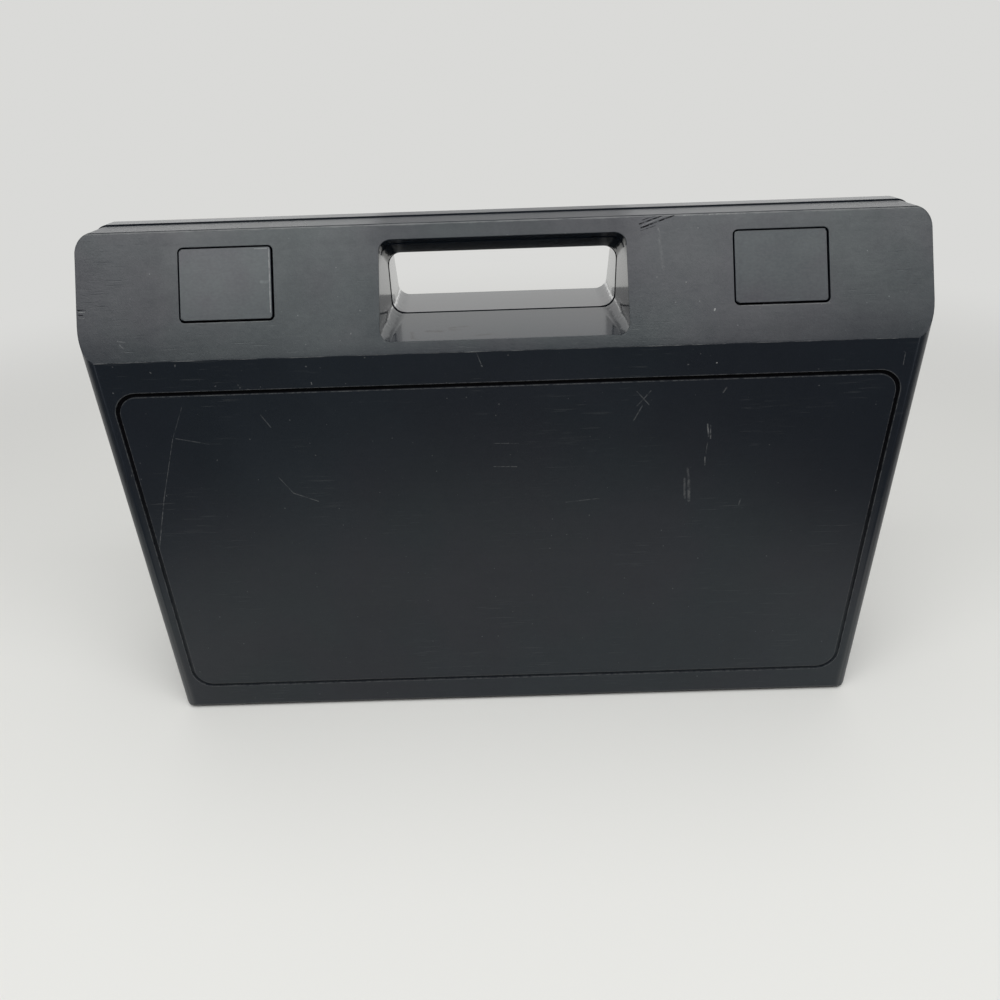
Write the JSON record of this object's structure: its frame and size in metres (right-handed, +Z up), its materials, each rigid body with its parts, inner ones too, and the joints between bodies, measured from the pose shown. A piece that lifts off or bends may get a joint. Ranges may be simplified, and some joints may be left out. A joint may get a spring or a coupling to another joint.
{
  "type": "cassette tape case",
  "caption": "Hard plastic attache case for boxed audio cassettes: hinged half shells, a handle hole through both, push-button latches and slotted racks inside.",
  "frame": {"origin": "middle of the footprint on the floor, the case standing upright on its hinge edge", "axes": "+X along the case's width (longest side), +Y from the lid towards the back, +Z up towards the handle"},
  "size_m": [0.37, 0.0866, 0.2512],
  "materials": {
    "shell_plastic": "satin fine-textured black polypropylene",
    "latch_plastic": "smooth satin black plastic",
    "rack_plastic": "satin black polystyrene",
    "pin_steel": "bright drawn wire",
    "spring_steel": "rolled spring strip"
  },
  "bodies": {
    "base": {"back_shell": "shell_plastic", "left_hinge_pin": "pin_steel", "middle_hinge_pin": "pin_steel", "right_hinge_pin": "pin_steel", "left_rack": "rack_plastic", "middle_rack": "rack_plastic", "right_rack": "rack_plastic", "left_latch_keeper": "latch_plastic", "right_latch_keeper": "latch_plastic"},
    "lid": {"front_shell": "shell_plastic", "left_latch_pin": "pin_steel", "right_latch_pin": "pin_steel", "left_latch_spring": "spring_steel", "right_latch_spring": "spring_steel"},
    "left_latch": {"left_latch_button": "latch_plastic"},
    "right_latch": {"right_latch_button": "latch_plastic"}
  },
  "joints": [
    {"name": "lid_hinge", "type": "hinge", "parent": "base", "child": "lid", "pos_m": [0, 0, 0.0035], "axis": [1, 0, 0], "range_deg": [0, 160]},
    {"name": "left_latch_press", "type": "hinge", "parent": "lid", "child": "left_latch", "pos_m": [-0.1198, -0.01727, 0.23459], "axis": [1, 0, 0], "range_deg": [0, 6], "stiffness_Nm_per_rad": 0.5, "springref_deg": -5.73, "deforming": ["left_latch_spring"]},
    {"name": "right_latch_press", "type": "hinge", "parent": "lid", "child": "right_latch", "pos_m": [0.1198, -0.01727, 0.23459], "axis": [1, 0, 0], "range_deg": [0, 6], "stiffness_Nm_per_rad": 0.5, "springref_deg": -5.73, "deforming": ["right_latch_spring"]}
  ]
}
